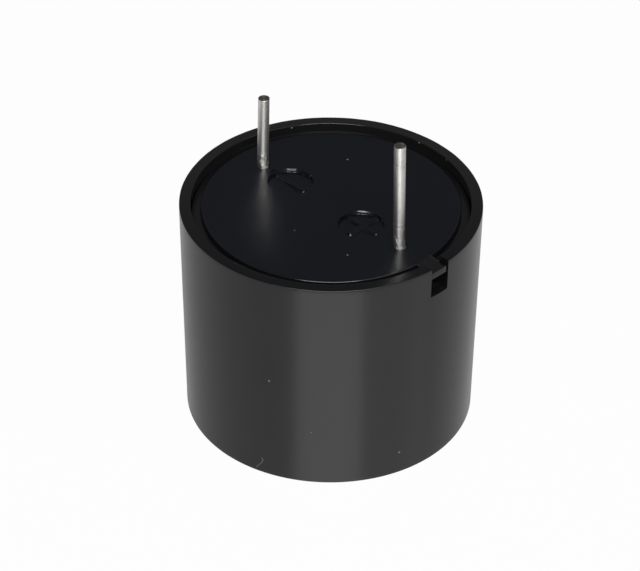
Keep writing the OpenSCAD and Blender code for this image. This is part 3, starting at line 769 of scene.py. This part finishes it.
# The tongue reaches in from the edge round its dot, and a bare gap follows its outline
from_tongue = to_line(place, feedback_dot * 0.62, feedback_dot * 1.5)
from_gap = start.math("ABSOLUTE", from_tongue - tongue_half)
silver = silver * from_gap.step(gap_half - 0.03, gap_half + 0.03)
silver_colour = silver.mix((0.60, 0.56, 0.42, 1), (0.80, 0.79, 0.76, 1))
relief = noise(start, 5200.0) * 0.000004 + silver * 0.00001
finish(start, silver_colour, 0.6 - silver * 0.22, relief, Metallic=silver * 0.85)
dress("piezo_ceramic", silvered)

silicone, start = new_material("silicone")
finish(start, (0.72, 0.72, 0.68, 1), 0.34, noise(start, 500.0) * 0.00005, Coat_Weight=0.3)
dress("sealant_ring", silicone)

# Solder. Bright domes hold the wires to the diaphragm, and hollow cones rise round each lead on top of
# the board. They freeze with a faint ripple and a little flux stain.
board_t, board_margin, wire_hole_margin = 1.2, 0.35, 1
lead_r, core_r, leg_r, joint_spread, leg_spread = 0.28, 0.18, 0.24, 0.5, 0.33
joint_h, joint_tip, joint_fall = 0.55, 0.06, 2.4
board_top_z = board_z + board_t
board_r = bore_r(board_z) - board_margin
solder_tin, start = new_material("solder")
ripple = noise(start, 2600.0)
flux = noise(start, 900.0).step(0.55, 0.75)
solder_colour = flux.mix((0.72, 0.72, 0.73, 1), (0.50, 0.42, 0.30, 1))
finish(start, solder_colour, 0.2 + flux * 0.25, ripple * 0.000012, Metallic=1.0)
dress("piezo_solder", solder_tin)


def in_row(middle, turn, pitch, count):
    """Places of count holes in a row round middle, along the direction turn."""
    return [np.array(middle) + polar(pitch * (i - (count - 1) / 2), turn) for i in range(count)]


# Each place is the part's middle on the board and the turn of the line through its holes
coil_at, transistor_at = ((0, -4.5), 0), ((0, 5.5), 0)
capacitor_at, diode_at = ((5.2, 4.2), 90), ((5.4, -4), 90)
resistors = {"base": ((0, 1.25), 0), "drive": ((-5.4, -4), 90), "feedback": ((-5.2, 4.3), 90)}
wire_bearings = {"plate": 270, "ceramic": 150, "feedback": 30}
wire_holes = {name: polar(board_r - wire_hole_margin, at) for name, at in wire_bearings.items()}
coil_holes, capacitor_holes = in_row(*coil_at, 3, 2), in_row(*capacitor_at, 2.5, 2)
transistor_holes, diode_holes = in_row(*transistor_at, 1.27, 3), in_row(*diode_at, 6.4, 2)
resistor_holes = {name: in_row(*at, 6.4, 2) for name, at in resistors.items()}
pin_holes = [np.array([side * pin_x, 0]) for side in (-1, 1)]
# Each joint: its place, its lead's radius and how far the cone's foot spreads past the lead
joints = [(hole, lead_r, joint_spread) for hole in coil_holes + capacitor_holes + diode_holes]
joints += [(hole, lead_r, joint_spread) for pair in resistor_holes.values() for hole in pair]
joints += [(hole, core_r, joint_spread) for hole in wire_holes.values()]
joints += [(hole, leg_r, leg_spread) for hole in transistor_holes]
joints += [(hole, shank_r, joint_spread) for hole in pin_holes]
solder_shell = Shell()
rise = np.linspace(0, 1, 12)
for hole, inner_r, spread in joints:
    # The cone's radius falls fast at its foot and slowly at its tip
    cone_r = inner_r + joint_tip + (spread - joint_tip) * (1 - rise) ** joint_fall
    cone = np.stack([cone_r, board_top_z + joint_h * rise], axis=1)
    foot, tip = (inner_r, board_top_z), (inner_r, board_top_z + joint_h)
    solder_shell.grid(spun(np.concatenate([[foot], cone, [tip, foot]]), hole, 32))
board_solder = solder_shell.piece("solder_joints", solder_tin, "solder")
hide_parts("board_solder")

# Circuit board. Brown phenolic paper, punched round, with copper tracks on its upper side under a clear
# lacquer. The tracks join the holes as the oscillator needs.
track_half = 0.37
tracks = [
    [(pin_x, 0), diode_holes[1], resistor_holes["base"][1]],
    [diode_holes[0], resistor_holes["drive"][0]],
    [coil_holes[1], (1.5, -7.2)],
    [coil_holes[0], (-1.5, -0.7), resistor_holes["drive"][1]],
    [(-1.5, -0.7), (-1.6, 3.4), transistor_holes[0]],
    [transistor_holes[1], (0, 7.6), resistor_holes["feedback"][1]],
    [resistor_holes["feedback"][0], resistor_holes["base"][0]],
    [transistor_holes[2], (3.0, 3.2), capacitor_holes[0]],
    [capacitor_holes[1], wire_holes["feedback"]],
    [wire_holes["plate"], (-4.6, -8.3), (-8.1, -4.4), (-pin_x, 0)],
]
phenolic, start = new_material("phenolic_board")
place = on_object(start)
paper = noise(start, 2400.0, 3.0, squeeze=(0.3, 1, 1))
mottle = noise(start, 500.0, 3.0).step(0.35, 0.7)
near = [to_line(place, a, b) for route in tracks for a, b in zip(route, route[1:])]
# A pad's copper reaches track_half past a circle that lies just inside the foot of its solder
near += [to_line(place, hole, hole) - (inner_r + spread - 0.1) for hole, inner_r, spread in joints]
nearest = near[0]
for distance in near[1:]:
    nearest = start.math("MINIMUM", nearest, distance)
upper_side = place.axis("Z").step((board_top_z - 0.05) * MM, (board_top_z - 0.02) * MM)
copper = nearest.step(track_half + 0.03, track_half - 0.03) * upper_side
bare_colour = mottle.mix((0.24, 0.11, 0.045, 1), (0.18, 0.08, 0.03, 1))
board_colour = copper.mix(bare_colour, (0.62, 0.26, 0.10, 1))
relief = paper * 0.000006 + copper * 0.00003
finish(start, board_colour, 0.5 - copper * 0.22, relief, Metallic=copper * 0.9, Coat_Weight=0.25)
dress("circuit_board", phenolic)

# Coil. Enamelled copper wire in close layers on a ferrite drum, whose two legs are tinned and soldered
# in. The turns of the outer layer show as fine rings.
coil_flange_r, coil_hub_r, coil_h, coil_flange_t = 3.0, 1.4, 6.0, 0.8
coil_lift, coil_margin, turns = 0.3, 0.35, 26
ferrite, start = new_material("ferrite")
finish(start, (0.05, 0.05, 0.054, 1), 0.55, noise(start, 3800.0, 3.0) * 0.00001)
dress("coil_core", ferrite)
dress("coil_leads", tin)
enamel, start = new_material("enamelled_copper")
tone = noise(start, 5000.0, squeeze=(0.2, 0.2, 1)).step(0.35, 0.65)
copper_colour = tone.mix((0.50, 0.13, 0.03, 1), (0.40, 0.09, 0.02, 1))
finish(start, copper_colour, 0.3, Metallic=0.85, Coat_Weight=0.6)
winding_low = board_z - coil_lift - coil_h + coil_flange_t
winding_h = coil_h - 2 * coil_flange_t
climb = np.linspace(0, winding_h, turns * 8 + 1)
# Radius falls between neighbouring turns as round wire does
dip = winding_h / turns / 2 * (1 - np.abs(np.sin(np.pi * climb * turns / winding_h)) ** 0.6)
turns_out = np.stack([coil_flange_r - coil_margin - dip, winding_low + climb], axis=1)
hub_low, hub_top = (coil_hub_r, winding_low), (coil_hub_r, winding_low + winding_h)
shape = spun(np.concatenate([[hub_low], turns_out, [hub_top, hub_low]]), coil_at[0], 96)
winding = add_grid("copper_winding", shape, enamel, "enamelled_copper")
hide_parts("coil_winding")

# Transistor. A moulded epoxy body with a round back and a flat front, on three square tinned legs.
# The mould's two halves meet halfway up, and each is drafted.
transistor_r, transistor_h, transistor_flat, transistor_lift = 2.3, 4.6, 1.3, 1.6
# Half the body: height over its end, how far the outline is drawn in, and its scale, which closes the end
half_body = [(0, 0.6, 0.02), (0, 0.3, 1), (0.05, 0.16, 1), (0.15, 0.12, 1), (2.25, 0.01, 1)]


def outline(inset):
    """D-shaped outline seen from above, drawn in by inset: the round back and then the flat front."""
    radius, flat = transistor_r - inset, transistor_flat - inset
    corner = math.asin(flat / radius)
    back = np.linspace(-corner, math.pi + corner, 64)
    front = np.linspace(-1, 1, 16)[1:-1] * radius * math.cos(corner)
    x = np.concatenate([radius * np.cos(back), front])
    y = np.concatenate([radius * np.sin(back), 0 * front - flat])
    return np.stack([x, y], axis=1)


epoxy, start = new_material("black_epoxy")
finish(start, (0.012, 0.012, 0.013, 1), 0.42, noise(start, 4200.0, 3.0) * 0.000006)
levels = half_body + [(transistor_h - level, inset, scale) for level, inset, scale in half_body[::-1]]
body_low = board_z - transistor_lift - transistor_h
outlines = np.stack([outline(inset) * scale for _, inset, scale in levels]) + transistor_at[0]
body_z = np.array([[[body_low + level]] for level, *_ in levels]) + 0 * outlines[..., :1]
body = np.concatenate([outlines, body_z], axis=-1)
ends = np.arange(body.size // 3).reshape(body.shape[:2])[[0, -1]].tolist()
body_faces = grid_faces(*body.shape[:2]).tolist() + ends
body_points = body.reshape(-1, 3)
transistor = add_piece("transistor_moulding", body_points, body_faces, epoxy)
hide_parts("transistor_body")
dress("transistor_leads", tin)

# Diode. A black epoxy cylinder with a pale ring at the cathode end, lying on its leads.
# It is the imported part's own cylinder, and the ring is painted on.
diode_l, ring_in, ring_half_w = 3.8, 0.75, 0.285
banded, start = new_material("diode_epoxy")
ring_y = diode_at[0][1] - diode_l / 2 + ring_in
from_ring = start.math("ABSOLUTE", on_object(start).axis("Y") - ring_y * MM)
painted = from_ring.step((ring_half_w + 0.015) * MM, (ring_half_w - 0.015) * MM)
diode_colour = painted.mix((0.012, 0.012, 0.013, 1), (0.55, 0.55, 0.54, 1))
finish(start, diode_colour, 0.4, noise(start, 4200.0, 3.0) * 0.000005)
dress("diode_body", banded)
dress("diode_leads", tin)

# Capacitor. A ceramic disc dipped in ochre resin, which swells over its faces and runs a little down both
# legs. It stands upright on them, close to the board.
capacitor_r, capacitor_half, capacitor_lift = 2.5, 1.1, 0.8
capacitor_leg, run_h, run_half = 1.25, 0.4, 0.11
dip_resin, start = new_material("capacitor_resin")
finish(start, (0.55, 0.17, 0.02, 1), 0.26, noise(start, 700.0) * 0.00004, Coat_Weight=0.4)
around = full_turn(96)
meridian = np.linspace(0, np.pi, 41)[:, None]
# Outline radius with a small run at each leg; the faces bulge between a flat disc and a ball
leg_angle = math.acos(capacitor_leg / capacitor_r)
runs = sum(np.exp(-(((around - at) / run_half) ** 2)) for at in (leg_angle, math.pi - leg_angle))
reach = (capacitor_r + run_h * runs) * np.abs(np.sin(meridian)) ** 0.75
bulge = capacitor_half * np.sign(np.cos(meridian)) * np.abs(np.cos(meridian)) ** 0.8
across, rise = reach * np.cos(around), reach * np.sin(around)
disc_x, disc_y = capacitor_at[0]
disc_z = board_z - capacitor_lift - capacitor_r
disc = np.stack([disc_x - bulge + 0 * across, disc_y + across, disc_z + rise], axis=-1)
capacitor = add_grid("capacitor_dip", disc, dip_resin, "capacitor_coating")
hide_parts("capacitor_body")
dress("capacitor_leads", tin)

# Resistors. Three carbon film resistors in tan lacquer with four colour bands. The lacquer swells over
# the caps of their leads and closes down on them in a rounded end.
resistor_cap_r, resistor_waist_r, resistor_half, axial_lift = 0.9, 0.75, 1.7, 0.2
band_places, band_half = (-1.1, -0.45, 0.1, 1.1), 0.155
brown, gold = (0.16, 0.06, 0.02, 1), (0.5, 0.33, 0.07, 1)
red, orange = (0.45, 0.015, 0.01, 1), (0.62, 0.18, 0.01, 1)
black, yellow, violet = (0.008, 0.008, 0.008, 1), (0.55, 0.35, 0.01, 1), (0.22, 0.02, 0.28, 1)
bands = {
    "base": (brown, black, orange, gold),
    "drive": (yellow, violet, brown, gold),
    "feedback": (red, red, orange, gold),
}
for name, (middle, turn) in resistors.items():
    lacquer, start = new_material("resistor_lacquer_" + name)
    along = on_object(start).axis("Y" if turn else "X") * (1 / MM) - (middle[1] if turn else middle[0])
    tone = noise(start, 1500.0).step(0.3, 0.7)
    colour = tone.mix((0.64, 0.46, 0.24, 1), (0.58, 0.40, 0.20, 1))
    for band_at, band_colour in zip(band_places, bands[name]):
        from_band = start.math("ABSOLUTE", along - band_at)
        colour = from_band.step(band_half + 0.015, band_half - 0.015).mix(colour, band_colour)
    finish(start, colour, 0.35, noise(start, 1800.0) * 0.00001, Coat_Weight=0.3)
    # Radius along the body: a smooth swell from the waist to the caps, times a rounding at both ends
    x = resistor_half * np.sin(np.linspace(-np.pi / 2, np.pi / 2, 49))
    swell = np.clip((np.abs(x) - 0.35) / 0.5, 0, 1)
    radius = resistor_waist_r + (resistor_cap_r - resistor_waist_r) * swell**2 * (3 - 2 * swell)
    radius = radius * (1 - (np.abs(x) / resistor_half) ** 7) ** 0.4
    # Turned round its own length, so the coordinates change places
    tube = turned(radius[:, None], x[:, None], full_turn(48))
    out, lift, length = np.moveaxis(tube, -1, 0)
    tube = np.stack([-out, length, lift] if turn else [length, out, lift], axis=-1)
    tube = tube + np.array([*middle, board_z - axial_lift - resistor_cap_r])
    name = "resistor_" + name
    resistor = add_grid(name, tube, lacquer, "resistor_coating")
    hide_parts(name + "_body")
    dress(name + "_leads", tin)

# Wires. Three insulated strands run from the diaphragm's solder dots up to the board, stripped at both
# ends. Black goes to the plate, red to the ceramic and blue to the feedback tongue.
wire_r, wire_end_r, dot_r, lead_out = 0.4, 0.35, 0.9, 0.7
wire_flat, wire_turn, wire_lift, wire_steps = 0.55, 0.2, 0.05, 40
wires = {
    "plate": (plate_dot, ceramic_z, "black", (0.012, 0.012, 0.012, 1)),
    "ceramic": (ceramic_dot, ceramic_top_z, "red", (0.45, 0.012, 0.008, 1)),
    "feedback": (feedback_dot, ceramic_top_z, "blue", (0.012, 0.05, 0.3, 1)),
}
for name, (dot, surface_z, colour_name, colour) in wires.items():
    hole = wire_holes[name]
    reach, low = np.linalg.norm(hole - dot), surface_z + wire_r + wire_lift
    ahead_x, ahead_y = (hole - dot) / reach
    # The sleeve follows a cubic curve between its dot and its hole, level at first and then upright
    corners = [(dot_r, low), (dot_r + wire_flat * (reach - dot_r), low)]
    corners += [(reach, low + wire_turn * (board_z - low)), (reach, board_z)]
    first, second, third, last = np.array(corners)
    t = np.linspace(0, 1, wire_steps)[:, None]
    bend = (1 - t) ** 3 * first + 3 * (1 - t) ** 2 * t * second
    bend = bend + 3 * (1 - t) * t**2 * third + t**3 * last
    # The bare core runs on at both ends, into the dot and through the board. Each point has a radius.
    end = (reach, board_top_z + lead_out)
    route = np.concatenate([[(0, low)] * 2, [bend[0]] * 2, bend, [bend[-1]] * 2, [end] * 2])
    ends = np.array([0, core_r, core_r, wire_end_r])
    radius = np.concatenate([ends, np.full(wire_steps, wire_r), ends[::-1]])[:, None]
    slope = np.pad(np.gradient(bend, axis=0), ((len(ends), len(ends)), (0, 0)), mode="edge")
    slope_out, slope_up = np.hsplit(slope / np.linalg.norm(slope, axis=1, keepdims=True), 2)
    side = full_turn(20)
    out, lift = radius * np.cos(side), radius * np.sin(side)
    along = route[:, :1] - lift * slope_up
    x = dot[0] + along * ahead_x - out * ahead_y
    y = dot[1] + along * ahead_y + out * ahead_x
    strand = np.stack([x, y, route[:, 1:] + lift * slope_out], axis=-1)
    sleeve, start = new_material(colour_name + "_insulation")
    place = on_object(start)
    past_board = place.axis("Z").step((board_z - 0.01) * MM, (board_z + 0.01) * MM)
    in_dot = to_line(place, dot, dot).step(dot_r + 0.01, dot_r - 0.01)
    bare = start.math("MAXIMUM", past_board, in_dot)
    wire_colour = bare.mix(colour, (0.80, 0.79, 0.76, 1))
    finish(start, wire_colour, 0.42 - bare * 0.12, noise(start, 1500.0) * 0.00001, Metallic=bare)
    wire = add_grid("wire_to_" + name, strand, sleeve, colour_name + "_insulation")
    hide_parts("lead_" + name)
